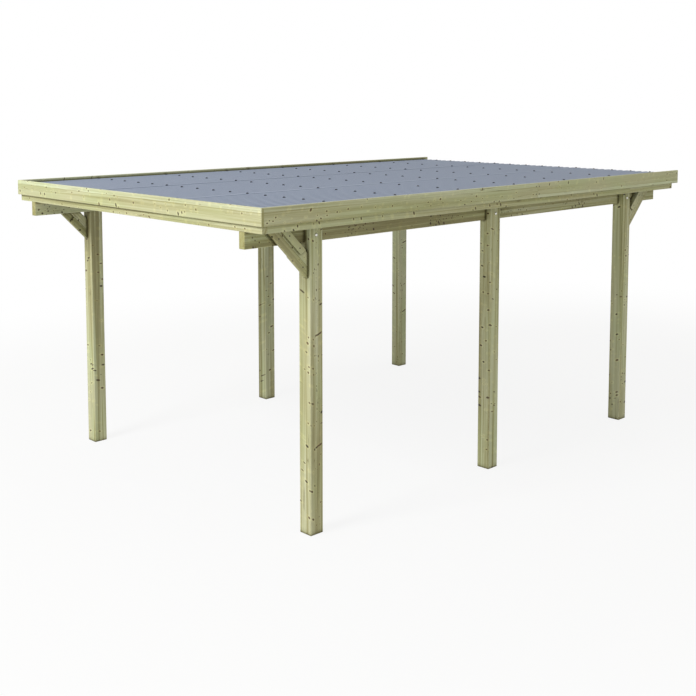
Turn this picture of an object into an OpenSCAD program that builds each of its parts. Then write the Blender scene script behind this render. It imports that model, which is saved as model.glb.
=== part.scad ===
// Timber carport with a level corrugated roof, open on all four sides.
// Millimetres, +Z up, front towards -Y. The origin is on the ground, midway
// between the sides and midway between the front and rear of the fascia.

/* [Overall] */
// Width over the two side fascias
overall_width = 3220; // [2700:10:4000]
// Length from the front fascia to the rear ends of the side fascias
overall_length = 5120; // [4200:10:6500]

/* [Posts] */
// Side of the square posts
post_size = 115; // [90:1:140]
// Height of the posts, which is also the underside of the roof frame
post_height = 2150; // [1900:10:2500]
// Chamfer on the upright edges of the posts
post_chamfer = 4; // [1:0.5:8]
// Distance from a side fascia's outer face in to the posts' outer faces
side_overhang = 140; // [90:5:300]
// Distance from the front fascia's face to the front posts
front_overhang = 532; // [460:2:800]
// Distance from the rear posts to the rear ends of the side fascias
rear_overhang = 603; // [520:1:900]

/* [Beams] */
// Thickness of the beams let into the inner halves of the posts
beam_thickness = 57; // [40:1:65]
// Height of the beams
beam_height = 115; // [90:1:150]
// Distance from the rear rim's outer face to the beams' rear ends
beam_rear_setback = 25; // [0:5:60]

/* [Braces] */
// Drop from the top of a post to the foot of its brace
brace_drop = 357; // [280:1:420]
// Width of the lower brace board, across its length
lower_board_width = 53; // [40:1:65]
// Width of the upper brace board, across its length
upper_board_width = 68; // [56:1:85]
// Width of the raised band along the outer side of the upper board
band_width = 51; // [35:1:55]
// Distance from a post's outer face in to the raised band
band_inset = 10; // [4:1:16]
// Distance from a post's outer face in to the outer sides of both boards
board_inset = 20; // [18:1:28]
// Distance from the post to the upper corner of the band's foot
band_foot_near = 25; // [10:1:40]
// Distance from the post to the lower corner of the band's foot
band_foot_far = 72; // [50:1:100]
// Length of the lower board from the post to the rebate on its inner side
rebate_start = 200; // [150:5:240]
// Depth of the rebate on the inner side of the lower board
rebate_depth = 10; // [4:1:14]

/* [Roof frame] */
// Thickness of the rims and purlins
frame_thickness = 45; // [30:1:60]
// Height of the rims and purlins
frame_height = 125; // [90:5:160]
// Distance from the rear ends of the side fascias in to the rear rim
rear_rim_setback = 72.5; // [40:2.5:120]

/* [Fascia] */
// Thickness of the fascia boards
fascia_thickness = 20; // [16:1:30]
// Height of the fascia boards
fascia_height = 120; // [90:5:150]
// Rise of the fascia above the top of the roof frame
fascia_rise = 45; // [30:1:60]
// Gap where the two lengths of a side fascia meet
board_gap = 1; // [0.5:0.5:4]

/* [Roof sheets] */
// Pitch of the corrugations, which is adjusted a little to fill the width
target_pitch = 70; // [60:1:90]
// Rise of the corrugations
sheet_rise = 18; // [12:1:22]
// Thickness of the sheets
sheet_thickness = 2; // [1.5:0.5:3]
// Width of the flat top of a corrugation
crest_width = 25; // [18:1:28]
// Width of the sloping side of a corrugation
flank_width = 10; // [6:1:14]
// Clearance between the sheets and the fascia
sheet_clearance = 2.5; // [1:0.5:5]
// Distance from the rear ends of the side fascias in to the sheets' rear ends
sheet_rear_setback = 34; // [10:2:60]

/* [Hidden] */
// Clearance between pieces that meet on upright faces
joint_clearance = 0.3;
// Shortening of the middle sheet's outer crests, under its neighbours' crests
lap_relief = 1;
half_width = overall_width / 2;
half_length = overall_length / 2;
// Outer face of a row of posts, and the front face of each of its three posts
row_face = half_width - side_overhang;
front_post = -half_length + front_overhang;
rear_post = half_length - rear_overhang - post_size;
post_front = [front_post, (front_post + rear_post) / 2, rear_post];
// The beam fills the inner half of the post head, and the outer half stands as a tongue
notch_depth = beam_thickness + joint_clearance;
tongue = post_size - notch_depth;
beam_bottom = post_height - beam_height;
frame_top = post_height + frame_height;
// Faces of the rims
rim_face = half_width - fascia_thickness;
front_rim_face = -half_length + fascia_thickness;
rear_rim_face = half_length - rear_rim_setback;
rim_inner = rim_face - frame_thickness;
// The purlins divide the length between the front and rear rims evenly
purlin_count = 6;
bay = (rear_rim_face - front_rim_face - frame_thickness) / (purlin_count + 1);
function purlin_centre(i) = front_rim_face + frame_thickness / 2 + i * bay;
fascia_joint = purlin_centre(4);
rim_joint = purlin_centre(6);
fascia_top = frame_top + fascia_rise;
fascia_bottom = fascia_top - fascia_height;
// Three equal sheets share the width, lapped by one crest
covered = 2 * (rim_face - sheet_clearance) - crest_width;
sheet_pitches = round(covered / (3 * target_pitch));
pitch = covered / (3 * sheet_pitches);
sheet_front = front_rim_face + sheet_clearance;
sheet_rear = half_length - sheet_rear_setback;
lap_lift = sheet_thickness + joint_clearance;
// The braces run at 45 degrees, so a width across them is this much along an upright
slant = sqrt(2);
lower_slant = lower_board_width * slant;
upper_slant = upper_board_width * slant;
band_slant = band_width * slant;

timber = [0.72, 0.70, 0.49];
shaded_timber = [0.56, 0.54, 0.38];
roof_blue = [0.50, 0.56, 0.64];

// Everything is drawn on the right-hand side; side = -1 turns it to the left
module on_side(side) {
    if (side < 0) mirror([1, 0, 0]) children();
    else children();
}

// A post with its inner half cut away at the head for the beam
module post(side, row) {
    c = post_chamfer;
    s = post_size;
    on_side(side)
    translate([row_face - s, post_front[row], 0])
    difference() {
        linear_extrude(post_height)
        polygon([
            [c, 0], [s - c, 0], [s, c], [s, s - c],
            [s - c, s], [c, s], [0, s - c], [0, c]
        ]);
        translate([-1, -1, beam_bottom])
        cube([notch_depth + 1, s + 2, beam_height + 1]);
    }
}

module beam(side) {
    front = front_rim_face;
    rear = rear_rim_face - beam_rear_setback;
    on_side(side)
    translate([row_face - post_size, front, beam_bottom])
    cube([beam_thickness, rear - front, beam_height]);
}

// Places a brace outline drawn with x away from the post and y up;
// end = -1 is a front post's brace and end = 1 a rear post's
module brace_board(side, end, outer, inner) {
    face = end < 0 ? post_front[0] - joint_clearance
                   : post_front[2] + post_size + joint_clearance;
    on_side(side)
    translate([row_face - inner, face, 0])
    mirror([0, end < 0 ? 1 : 0, 0])
    rotate([90, 0, 90])
    linear_extrude(inner - outer)
    children();
}

// Outline of a 45 degree board whose lower edge meets the post at height foot
module slanted(foot, width) {
    polygon([
        [0, foot], [0, foot + width],
        [post_height - foot - width, post_height], [post_height - foot, post_height]
    ]);
}

// Everything further along the brace than the given distance from the post
module beyond(foot, width, distance) {
    reach = distance / slant;
    translate([reach, foot + width / 2 + reach])
    rotate(45)
    translate([0, -post_height])
    square([2 * post_height, 2 * post_height]);
}

// The lower board is full thickness at the post and rebated on its inner side above
module brace_lower(side, end) {
    foot = post_height - brace_drop;
    brace_board(side, end, board_inset, tongue - rebate_depth)
    slanted(foot, lower_slant);
    brace_board(side, end, tongue - rebate_depth, tongue)
    difference() {
        slanted(foot, lower_slant);
        beyond(foot, lower_slant, rebate_start);
    }
}

// The upper board lies on the lower one; a raised band runs along its upper edge on the
// outer side and stops short of the post
module brace_upper(side, end) {
    foot = post_height - brace_drop + lower_slant;
    band_top = foot + upper_slant;
    band_bottom = band_top - band_slant;
    brace_board(side, end, board_inset, tongue)
    slanted(foot, upper_slant);
    brace_board(side, end, band_inset, board_inset)
    polygon([
        [band_foot_near, band_top + band_foot_near],
        [band_foot_far, band_bottom + band_foot_far],
        [post_height - band_bottom, post_height], [post_height - band_top, post_height]
    ]);
}

// A board of the roof frame between two corners in plan
module frame_board(x0, y0, x1, y1) {
    translate([x0, y0, post_height])
    cube([x1 - x0, y1 - y0, frame_height]);
}

module side_rim(side, y0, y1) {
    on_side(side) frame_board(rim_inner, y0, rim_face, y1);
}

module purlin(i) {
    y = purlin_centre(i) - frame_thickness / 2;
    frame_board(-rim_inner, y, rim_inner, y + frame_thickness);
}

module side_fascia(side, y0, y1) {
    on_side(side)
    translate([rim_face, y0, fascia_bottom])
    cube([fascia_thickness, y1 - y0, fascia_height]);
}

// Upper surface of a sheet from its first crest to its last, as [across, height];
// lifts give the extra height of the first and last crests, trims their shortening
function crest_lift(i, lifts) = i == 0 ? lifts[0] : i == sheet_pitches ? lifts[1] : 0;
function sheet_top(lifts, trims) = [
    for (i = [0 : sheet_pitches])
    let (
        centre = i * pitch,
        top = sheet_thickness + sheet_rise + crest_lift(i, lifts),
        half = crest_width / 2,
        left = i == 0 ? trims[0] : 0,
        right = i == sheet_pitches ? trims[1] : 0
    )
    each concat(
        i == 0 ? [] : [[centre - half - flank_width, sheet_thickness]],
        [[centre - half + left, top], [centre + half - right, top]],
        i == sheet_pitches ? [] : [[centre + half + flank_width, sheet_thickness]]
    )
];

module roof_sheet(place, lifts, trims) {
    top = sheet_top(lifts, trims);
    last = len(top) - 1;
    under = [for (i = [last : -1 : 0]) top[i] - [0, sheet_thickness]];
    translate([-covered / 2 + place * covered / 3, sheet_rear, frame_top])
    rotate([90, 0, 0])
    linear_extrude(sheet_rear - sheet_front)
    polygon(concat(top, under));
}

module post_front_left() color(timber) post(-1, 0);
module post_front_right() color(timber) post(1, 0);
module post_middle_left() color(timber) post(-1, 1);
module post_middle_right() color(timber) post(1, 1);
module post_rear_left() color(timber) post(-1, 2);
module post_rear_right() color(timber) post(1, 2);

module beam_left() color(shaded_timber) beam(-1);
module beam_right() color(shaded_timber) beam(1);

module brace_front_left_lower() color(timber) brace_lower(-1, -1);
module brace_front_left_upper() color(timber) brace_upper(-1, -1);
module brace_front_right_lower() color(timber) brace_lower(1, -1);
module brace_front_right_upper() color(timber) brace_upper(1, -1);
module brace_rear_left_lower() color(timber) brace_lower(-1, 1);
module brace_rear_left_upper() color(timber) brace_upper(-1, 1);
module brace_rear_right_lower() color(timber) brace_lower(1, 1);
module brace_rear_right_upper() color(timber) brace_upper(1, 1);

module rim_front() color(timber)
    frame_board(-rim_face, front_rim_face, rim_face, front_rim_face + frame_thickness);
module rim_rear() color(timber)
    frame_board(-rim_face, rear_rim_face - frame_thickness, rim_face, rear_rim_face);
module rim_left_front() color(timber)
    side_rim(-1, front_rim_face + frame_thickness, rim_joint);
module rim_left_rear() color(timber)
    side_rim(-1, rim_joint, rear_rim_face - frame_thickness);
module rim_right_front() color(timber)
    side_rim(1, front_rim_face + frame_thickness, rim_joint);
module rim_right_rear() color(timber)
    side_rim(1, rim_joint, rear_rim_face - frame_thickness);

module purlin_1() color(shaded_timber) purlin(1);
module purlin_2() color(shaded_timber) purlin(2);
module purlin_3() color(shaded_timber) purlin(3);
module purlin_4() color(shaded_timber) purlin(4);
module purlin_5() color(shaded_timber) purlin(5);
module purlin_6() color(shaded_timber) purlin(6);

module fascia_front() color(timber)
    translate([-half_width, -half_length, fascia_bottom])
    cube([overall_width, fascia_thickness, fascia_height]);
module fascia_left_front() color(timber)
    side_fascia(-1, front_rim_face, fascia_joint - board_gap / 2);
module fascia_left_rear() color(timber)
    side_fascia(-1, fascia_joint + board_gap / 2, half_length);
module fascia_right_front() color(timber)
    side_fascia(1, front_rim_face, fascia_joint - board_gap / 2);
module fascia_right_rear() color(timber)
    side_fascia(1, fascia_joint + board_gap / 2, half_length);

// The outer sheets lap over the end crests of the middle sheet
module roof_sheet_left() color(roof_blue) roof_sheet(0, [0, lap_lift], [0, 0]);
module roof_sheet_middle() color(roof_blue) roof_sheet(1, [0, 0], [lap_relief, lap_relief]);
module roof_sheet_right() color(roof_blue) roof_sheet(2, [lap_lift, 0], [0, 0]);

post_front_left();
post_front_right();
post_middle_left();
post_middle_right();
post_rear_left();
post_rear_right();
beam_left();
beam_right();
brace_front_left_lower();
brace_front_left_upper();
brace_front_right_lower();
brace_front_right_upper();
brace_rear_left_lower();
brace_rear_left_upper();
brace_rear_right_lower();
brace_rear_right_upper();
rim_front();
rim_rear();
rim_left_front();
rim_left_rear();
rim_right_front();
rim_right_rear();
purlin_1();
purlin_2();
purlin_3();
purlin_4();
purlin_5();
purlin_6();
fascia_front();
fascia_left_front();
fascia_left_rear();
fascia_right_front();
fascia_right_rear();
roof_sheet_left();
roof_sheet_middle();
roof_sheet_right();
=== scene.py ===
# %% [markdown]
# # A timber carport
#
# The object is an open carport. Six square posts carry two beams, the beams carry a level frame of
# rims and purlins, boards edge that frame, and corrugated sheets lie on top. The construction
# already exists as a imported CAD frame, so this lesson adds what the frame doesn't hold: the grain and
# knots of the pine, eased edges, folded roof sheets, bolts and screws, the light and the camera.
#
# ## Loading the frame
#
# We keep the box of the whole frame now, because the looks must not change the size.

# %% Load the frame
import math

import bmesh
import bpy
from mathutils import Matrix, Vector


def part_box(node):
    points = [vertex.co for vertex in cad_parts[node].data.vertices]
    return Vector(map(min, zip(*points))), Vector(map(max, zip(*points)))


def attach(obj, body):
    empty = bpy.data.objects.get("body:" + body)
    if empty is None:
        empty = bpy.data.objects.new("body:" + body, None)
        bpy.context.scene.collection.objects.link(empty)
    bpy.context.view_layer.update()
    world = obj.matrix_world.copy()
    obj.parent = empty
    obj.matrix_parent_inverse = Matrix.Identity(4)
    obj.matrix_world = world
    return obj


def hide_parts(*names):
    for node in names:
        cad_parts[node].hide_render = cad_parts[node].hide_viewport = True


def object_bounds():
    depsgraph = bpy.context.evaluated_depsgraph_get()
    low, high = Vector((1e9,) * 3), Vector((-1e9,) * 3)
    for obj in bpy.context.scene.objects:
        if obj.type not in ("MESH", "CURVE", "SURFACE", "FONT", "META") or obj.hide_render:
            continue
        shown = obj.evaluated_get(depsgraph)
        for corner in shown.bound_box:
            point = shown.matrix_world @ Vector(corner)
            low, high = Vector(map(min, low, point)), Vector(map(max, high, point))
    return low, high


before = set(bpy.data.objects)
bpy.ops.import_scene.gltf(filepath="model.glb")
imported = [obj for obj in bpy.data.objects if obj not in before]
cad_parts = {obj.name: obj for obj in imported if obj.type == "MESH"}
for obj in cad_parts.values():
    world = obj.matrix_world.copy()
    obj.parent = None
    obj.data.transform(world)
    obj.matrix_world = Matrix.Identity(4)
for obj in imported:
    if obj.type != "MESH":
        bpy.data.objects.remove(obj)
frame_low, frame_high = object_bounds()
print("frame from", tuple(frame_low), "to", tuple(frame_high))

# %% [markdown]
# ## The camera
#
# The carport is seen from its front right corner, a little above the roof. Upright things look wrong
# when they lean, so for a building the camera is kept nearly level and its lens slides down for the
# rest. In Blender that slide is the lens shift, a share of the picture's width. Other views of the
# model keep the shift, so part of the way down is tilt, to leave the roof in them.

# %% Place the camera
CAMERA_PLACE = Vector((6.801, -6.804, 3.007))
CAMERA_TURN = 46.10
CAMERA_TILT = 5.3
LENS_MM = 55.594
LENS_SHIFT = -0.2162

camera = bpy.data.objects.new("camera", bpy.data.cameras.new("camera"))
bpy.context.scene.collection.objects.link(camera)
camera.location = CAMERA_PLACE
camera.rotation_euler = (math.radians(90 - CAMERA_TILT), 0, math.radians(CAMERA_TURN))
camera.data.sensor_width = 36
camera.data.lens = LENS_MM
camera.data.shift_y = LENS_SHIFT
bpy.context.scene.camera = camera
print("camera", tuple(camera.location), "lens", camera.data.lens)

# %% [markdown]
# ## Helpers for node trees
#
# Every finish here is procedural: a small tree of nodes works out colour, roughness and height at
# each point of the wood. Adding a node, setting it and joining it takes several lines, so one helper
# does all three. It takes either a plain value or another node's output for each input, which lets a
# tree be written like a formula. The second helper is for arithmetic, the commonest node of all, and
# the others are for the steps that the finishes share.

# %% Node helpers
def plug(tree, value, socket):
    """Joins an output to a socket, or types a plain value into it."""
    if isinstance(value, bpy.types.NodeSocket):
        tree.links.new(value, socket)
    else:
        socket.default_value = value


def add_node(tree, kind, inputs=None, output=0, **settings):
    """Adds a node with its settings and inputs, and returns one of its outputs."""
    made = tree.nodes.new("ShaderNode" + kind)
    for name, value in settings.items():
        setattr(made, name, value)
    for key, value in (inputs or {}).items():
        plug(tree, value, made.inputs[key])
    return made.outputs[output]


def sums(tree, operation, *values, clamp=False):
    """One arithmetic node, such as ADD or MULTIPLY."""
    made = tree.nodes.new("ShaderNodeMath")
    made.operation = operation
    made.use_clamp = clamp
    for value, socket in zip(values, made.inputs):
        plug(tree, value, socket)
    return made.outputs[0]


def smooth_step(tree, value, start, end):
    """Rises smoothly from 0 to 1 as the value goes from start to end."""
    inputs = {"Value": value, "From Min": start, "From Max": end}
    return add_node(tree, "MapRange", inputs, interpolation_type="SMOOTHSTEP")


def split(tree, vector):
    """The X, Y and Z of a vector, as three outputs."""
    made = tree.nodes.new("ShaderNodeSeparateXYZ")
    plug(tree, vector, made.inputs[0])
    return made.outputs


def blend_colour(tree, share, first, second, how="MIX"):
    """Mixes two colours; how is a blend mode such as MIX or MULTIPLY."""
    inputs = {0: share, 6: first, 7: second}
    return add_node(tree, "Mix", inputs, output=2, data_type="RGBA", blend_type=how)


def stretched(tree, vector, sizes):
    """Scales a vector, so that a pattern runs long in one direction and short in another."""
    inputs = {0: vector, 1: sizes}
    return add_node(tree, "VectorMath", inputs, operation="MULTIPLY")


def noise(tree, vector, scale=1.0, detail=2.0, roughness=0.5, output=0):
    """Soft random variation, from 0 to 1."""
    inputs = {"Vector": vector, "Scale": scale, "Detail": detail, "Roughness": roughness}
    return add_node(tree, "TexNoise", inputs, output)


def as_colour(red, green, blue):
    """Turns a colour picked on a 0 to 255 scale into the linear values that a shader wants."""
    parts = [part / 255 for part in (red, green, blue)]
    linear = [p / 12.92 if p <= 0.04045 else ((p + 0.055) / 1.055) ** 2.4 for p in parts]
    return (*linear, 1.0)


print("helpers ready")

# %% [markdown]
# ## Pressure-treated pine
#
# All the boards are the same timber: pine, planed smooth and pressure-treated, which leaves it pale
# green-yellow. A flat wood picture wrapped round a board would look wrong at its corners. Instead we
# describe the tree that the board was sawn from. The rings are cylinders round the heart of the log,
# so the distance from the heart gives streaks along the faces and arcs on the sawn ends, and both
# meet at every corner. Knots are branches, so they point away from the heart: round marks where a
# face cuts across them, long spikes where a face runs along them.
#
# The group below works in the board's own directions: X along the grain, Y and Z across it. Each
# board tells the group where the heart of its log was, so that no two boards look alike.

# %% The group's sockets
def new_group(name, wanted_in, wanted_out):
    """A node group with the named sockets; returns its tree, its inputs and its output node."""
    tree = bpy.data.node_groups.new(name, "ShaderNodeTree")
    for label, kind in wanted_in:
        tree.interface.new_socket(label, in_out="INPUT", socket_type="NodeSocket" + kind)
    for label, kind in wanted_out:
        tree.interface.new_socket(label, in_out="OUTPUT", socket_type="NodeSocket" + kind)
    given = tree.nodes.new("NodeGroupInput").outputs
    result = tree.nodes.new("NodeGroupOutput").inputs
    return tree, given, result


pine, board, pine_result = new_group(
    "treated_pine",
    [("Place", "Vector"), ("Facing", "Vector"), ("Heart", "Vector"), ("Half size", "Vector"),
     ("Sapwood from", "Float"), ("Sapwood side", "Float"), ("Sapwood amount", "Float"),
     ("Tone", "Float"), ("Contrast", "Float"), ("Grime", "Float"),
     ("Spikes", "Float"), ("Clusters", "Float"), ("First cluster", "Float"),
     ("End grain", "Float")],
    [("Colour", "Color"), ("Roughness", "Float"), ("Height", "Float")],
)
print("pine group has", len(board) - 1, "inputs")

# %% [markdown]
# ### Rings
#
# A log is never a perfect cone, so the place is first bent a little by slow noise. Then the distance
# from the heart is split into years, and each year ends in a thin, dark, hard line of late wood. Wet
# and dry spells make broad bands of paler and browner years, which is what shows from afar.

# %% Rings and broad bands
RING_WIDTH = 0.0042
BEND_SIZES, BEND_REACH = (0.7, 3.5, 3.5), 0.035
BANDS_ALONG, BANDS_OUTWARDS = 0.35, 42.0
in_log = add_node(pine, "VectorMath", {0: board["Place"], 1: board["Heart"]}, operation="ADD")


def log_noise(sizes, detail=2.0, output=0):
    """Noise that is fixed in the log; a larger size makes it finer in that direction."""
    return noise(pine, stretched(pine, in_log, sizes), detail=detail, output=output)


bend = log_noise(BEND_SIZES, output=1)
bend = add_node(pine, "VectorMath", {0: bend, 1: (0.5, 0.5, 0.5)}, operation="SUBTRACT")
bend = stretched(pine, bend, (0.0, BEND_REACH, BEND_REACH))
bent = add_node(pine, "VectorMath", {0: in_log, 1: bend}, operation="ADD")
along = split(pine, bent)[0]
across = stretched(pine, bent, (0.0, 1.0, 1.0))
heart_distance = add_node(pine, "VectorMath", {0: across}, output=1, operation="LENGTH")
outwards = add_node(pine, "VectorMath", {0: across}, operation="NORMALIZE")

band_place = add_node(
    pine, "CombineXYZ",
    {0: sums(pine, "MULTIPLY", along, BANDS_ALONG),
     1: sums(pine, "MULTIPLY", heart_distance, BANDS_OUTWARDS)},
)
year_band = noise(pine, band_place, detail=3.0, roughness=0.55)
print("rings every", RING_WIDTH * 1000, "mm")

# %% [markdown]
# ### Knots
#
# Branches are scattered over the log at random. A Voronoi pattern scatters points, and measuring it
# in directions from the heart turns each point into a cone that starts at the heart. The cones lean
# along the trunk as branches do. Only some of the points get a branch, and each has its own size.
# A knot has a dark core, a rim of pale swollen wood made paler still by a painted highlight for the
# glint of its resin, and rings that swerve round it.

# %% Knots
KNOT_CELL, KNOTS_AROUND, KNOT_SHARE = 0.050, 1.45, 0.93
KNOT_SMALLEST, KNOT_SPREAD, KNOT_RAGGED = 0.09, 0.12, 0.5
KNOT_EDGE, HALO_EDGE = (1.1, 0.7), (2.9, 1.0)
RAGGED_SIZES = (60.0, 60.0, 60.0)
BRANCH_LEAN = 0.45
trunk_place = sums(pine, "SUBTRACT", along, sums(pine, "MULTIPLY", heart_distance, BRANCH_LEAN))


def branch_pattern(cell, around):
    """Scatters branches over the log; returns how far the nearest one is and its chances."""
    up_trunk = add_node(pine, "CombineXYZ", {0: sums(pine, "DIVIDE", trunk_place, cell)})
    where = stretched(pine, outwards, (0.0, around, around))
    where = add_node(pine, "VectorMath", {0: where, 1: up_trunk}, operation="ADD")
    pattern = pine.nodes.new("ShaderNodeTexVoronoi")
    pattern.inputs["Scale"].default_value = 1.0
    plug(pine, where, pattern.inputs["Vector"])
    chances = pine.nodes.new("ShaderNodeSeparateColor")
    plug(pine, pattern.outputs["Color"], chances.inputs[0])
    return pattern.outputs["Distance"], chances.outputs


def both_ways(value):
    """Shifts a noise from 0 to 1 so that it swings both ways about 0."""
    return sums(pine, "SUBTRACT", value, 0.5)


ragged = log_noise(RAGGED_SIZES)
branch_distance, chance = branch_pattern(KNOT_CELL, KNOTS_AROUND)
has_branch = sums(pine, "LESS_THAN", chance[0], KNOT_SHARE)
branch_size = sums(pine, "MULTIPLY_ADD", chance[1], KNOT_SPREAD, KNOT_SMALLEST)
off_centre = sums(pine, "DIVIDE", branch_distance, branch_size)
off_centre = sums(pine, "MULTIPLY_ADD", both_ways(ragged), KNOT_RAGGED, off_centre)
knot_core = sums(pine, "MULTIPLY", smooth_step(pine, off_centre, *KNOT_EDGE), has_branch)
knot_halo = sums(pine, "MULTIPLY", smooth_step(pine, off_centre, *HALO_EDGE), has_branch)
print("knots about", KNOT_CELL * 1000, "mm apart")

# %% [markdown]
# Where the saw happens to run along a branch instead of across it, the knot shows as a long slanting
# spike. Pines grow their branches in whorls, one for each year of height, so spikes come at even
# distances up a post. Wrapping the place along the board gives the distance from the nearest one.

# %% Spike knots
WHORL_SPACING, FIRST_WHORL, SPIKE_SLOPE = 0.78, 0.323, 0.36
SPIKE_HALF_WIDTH, SPIKE_RAGGED = 0.0085, 0.012
SPIKE_FROM, SPIKE_TO, SPIKE_SOFT = -0.012, 0.046, 0.006
SPIKE_FACE = (-0.6, -0.8)
place_x, place_y, place_z = split(pine, board["Place"])
facing_x, _, facing_z = split(pine, board["Facing"])


def from_nearest(place, first, spacing):
    """How far a place is from the nearest of many evenly spaced marks, in either direction."""
    past_first = sums(pine, "SUBTRACT", place, first)
    return sums(pine, "WRAP", past_first, spacing / 2, -spacing / 2)


slanted = sums(pine, "MULTIPLY_ADD", place_y, -SPIKE_SLOPE, place_x)
from_spike = from_nearest(slanted, FIRST_WHORL, WHORL_SPACING)
from_spike = sums(pine, "MULTIPLY_ADD", both_ways(ragged), SPIKE_RAGGED, from_spike)
from_spike = sums(pine, "ABSOLUTE", from_spike)
on_spike = sums(
    pine, "MULTIPLY",
    smooth_step(pine, place_y, SPIKE_FROM - SPIKE_SOFT, SPIKE_FROM + SPIKE_SOFT),
    smooth_step(pine, place_y, SPIKE_TO + SPIKE_SOFT, SPIKE_TO - SPIKE_SOFT),
)
on_spike = sums(pine, "MULTIPLY", on_spike, smooth_step(pine, facing_z, *SPIKE_FACE))
on_spike = sums(pine, "MULTIPLY", on_spike, board["Spikes"])
spike = smooth_step(pine, from_spike, SPIKE_HALF_WIDTH, SPIKE_HALF_WIDTH * 0.5)
spike_halo = smooth_step(pine, from_spike, SPIKE_HALF_WIDTH * 3, SPIKE_HALF_WIDTH)
knot_core = sums(pine, "MAXIMUM", knot_core, sums(pine, "MULTIPLY", on_spike, spike))
knot_halo = sums(pine, "MAXIMUM", knot_halo, sums(pine, "MULTIPLY", on_spike, spike_halo))
print("whorls", WHORL_SPACING, "m apart")

# %% [markdown]
# The beams are cut from thinner trees, where each whorl shows as a cluster of small knots with clear
# wood on both sides, and the posts have a few such knots too. They are made like the large knots, from
# a finer pattern, and only the ones near a whorl are kept.

# %% Knot clusters
CLUSTER_SPACING, CLUSTER_REACH = 0.88, 0.19
TWIG_CELL, TWIGS_AROUND = 0.028, 2.3
TWIG_SMALLEST, TWIG_SPREAD, TWIG_EDGE = 0.16, 0.20, (1.2, 0.7)
twig_distance, twig_chance = branch_pattern(TWIG_CELL, TWIGS_AROUND)
from_cluster = from_nearest(place_x, board["First cluster"], CLUSTER_SPACING)
from_cluster = sums(pine, "ABSOLUTE", from_cluster)
in_cluster = smooth_step(pine, from_cluster, CLUSTER_REACH, CLUSTER_REACH * 0.6)
in_cluster = sums(pine, "MULTIPLY", in_cluster, board["Clusters"])
has_twig = sums(pine, "LESS_THAN", twig_chance[0], in_cluster)
twig_size = sums(pine, "MULTIPLY_ADD", twig_chance[1], TWIG_SPREAD, TWIG_SMALLEST)
off_twig = sums(pine, "DIVIDE", twig_distance, twig_size)
twig_core = sums(pine, "MULTIPLY", smooth_step(pine, off_twig, *TWIG_EDGE), has_twig)
knot_core = sums(pine, "MAXIMUM", knot_core, twig_core)
print("clusters", CLUSTER_SPACING, "m apart")

# %% [markdown]
# With the knots known, the rings can be drawn. They swerve round a large knot, so the distance from
# the heart is pushed out there. Within each year the late wood comes up softly and stops sharply,
# which is how a tree slows down in autumn and starts again in spring.

# %% Late wood of each year
RING_SWERVE = 0.006
LATE_WOOD_RISES, LATE_WOOD_STOPS = (0.35, 0.92), (1.0, 0.94)
ring_distance = sums(pine, "MULTIPLY_ADD", knot_halo, RING_SWERVE, heart_distance)
year = sums(pine, "FRACT", sums(pine, "DIVIDE", ring_distance, RING_WIDTH))
late_wood = sums(pine, "MULTIPLY", smooth_step(pine, year, *LATE_WOOD_RISES),
                 smooth_step(pine, year, *LATE_WOOD_STOPS))
print("rings swerve by", RING_SWERVE * 1000, "mm at a knot")

# %% [markdown]
# ### Colour
#
# From dark to pale, treated pine goes through olive brown, straw, and greenish cream. The year bands
# and streaks along the grain choose between them, and the wood close to the heart is darker. Bands
# and streaks swing both ways about a middle tone, so that a board's contrast can be set without
# changing how pale it is.

# %% Tones of the wood
STREAK_SIZES, FINE_STREAK_SIZES = (0.45, 26.0, 26.0), (0.9, 95.0, 95.0)
BAND_SWING, STREAK_SWING, FINE_STREAK_SWING = 1.05, 0.75, 0.85
HEART_EDGE, HEART_WAVER, HEART_DARKER = (0.062, 0.044), 0.02, 0.14
WAVER_SIZES = (3.2, 1.0, 1.0)
MIDDLE_TONE = 0.54
WOOD_TONES = [
    (0.22, (160, 153, 112)),
    (0.40, (186, 183, 138)),
    (0.55, (200, 199, 158)),
    (0.78, (214, 215, 180)),
]
waver = log_noise(WAVER_SIZES)
wavering_distance = sums(pine, "MULTIPLY_ADD", waver, HEART_WAVER, heart_distance)
heartwood = smooth_step(pine, wavering_distance, *HEART_EDGE)
swing = sums(pine, "MULTIPLY", both_ways(log_noise(STREAK_SIZES)), STREAK_SWING)
swing = sums(pine, "MULTIPLY_ADD", both_ways(year_band), BAND_SWING, swing)
swing = sums(pine, "MULTIPLY_ADD", both_ways(log_noise(FINE_STREAK_SIZES)), FINE_STREAK_SWING, swing)
swing = sums(pine, "MULTIPLY_ADD", heartwood, -HEART_DARKER, swing)
paleness = sums(pine, "MULTIPLY_ADD", swing, board["Contrast"], MIDDLE_TONE)
paleness = sums(pine, "ADD", paleness, board["Tone"])

ramp = pine.nodes.new("ShaderNodeValToRGB")
plug(pine, paleness, ramp.inputs[0])
stops = ramp.color_ramp.elements
for stop, (position, tone) in zip((stops[0], stops[1]), (WOOD_TONES[0], WOOD_TONES[-1])):
    stop.position = position
    stop.color = as_colour(*tone)
for position, tone in WOOD_TONES[1:-1]:
    stops.new(position).color = as_colour(*tone)
wood = ramp.outputs[0]
print(len(WOOD_TONES), "wood tones")

# %% [markdown]
# The rest of the colour is laid on like stain: each layer multiplies what is under it by a tint, and
# has a strength. The treatment leaves a soft green mottle, the late wood is browner, and the fibres
# show as the finest lines of all.

# %% Stains over the tones
MOTTLE_SIZES, MOTTLE_EDGE = (1.6, 7.0, 7.0), (0.35, 0.75)
FIBRE_SIZES, FIBRE_FROM = (9.0, 620.0, 620.0), 0.4
TREATMENT_GREEN = (0.55, (0.90, 1.0, 0.86))
LATE_WOOD_BROWN = (0.45, (0.76, 0.72, 0.64))
FIBRE_BROWN = (0.80, (0.80, 0.78, 0.72))


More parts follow.
